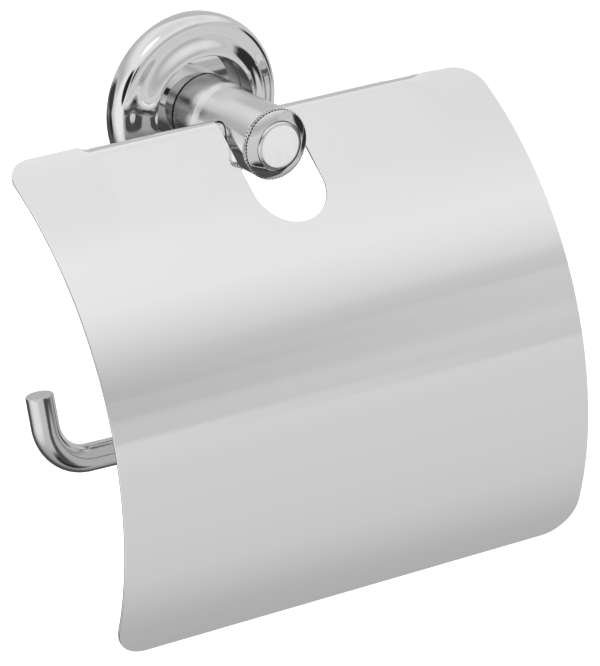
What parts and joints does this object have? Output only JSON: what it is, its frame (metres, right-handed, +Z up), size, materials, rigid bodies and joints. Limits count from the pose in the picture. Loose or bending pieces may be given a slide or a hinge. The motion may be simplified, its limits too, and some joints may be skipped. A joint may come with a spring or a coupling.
{
  "type": "toilet paper holder",
  "caption": "Wall-mounted chrome toilet paper holder: round rosette and post, bent wire roll hanger with an upturned hook, and a curved mirror-polished cover that swings on the wire.",
  "frame": {"origin": "centre of the rosette's back on the wall, on the post's axis", "axes": "+Z up, -Y out from the wall towards the user, +X to the right seen from the front; the wall is the plane y = 0"},
  "size_m": [0.1458, 0.0807, 0.1398],
  "materials": {
    "polished_chrome": "polished",
    "satin_chrome": "satin",
    "mirror_steel": "mirror",
    "zinc": "zinc plated",
    "black_steel": "black oxide"
  },
  "bodies": {
    "bracket": {"wall_plate": "zinc", "spigot": "zinc", "rosette": "polished_chrome", "base_collar": "polished_chrome", "post": "satin_chrome", "post_set_screw": "black_steel", "wire_set_screw": "black_steel", "knurled_ring": "satin_chrome", "end_cap": "polished_chrome", "cap_disc": "satin_chrome", "paper_bar": "satin_chrome"},
    "lid": {"cover": "mirror_steel"}
  },
  "joints": [
    {"name": "cover_hinge", "type": "hinge", "parent": "bracket", "child": "lid", "pos_m": [0, -0.0296, 0.0003], "axis": [-1, 0, 0], "range_deg": [-12, 88]}
  ]
}
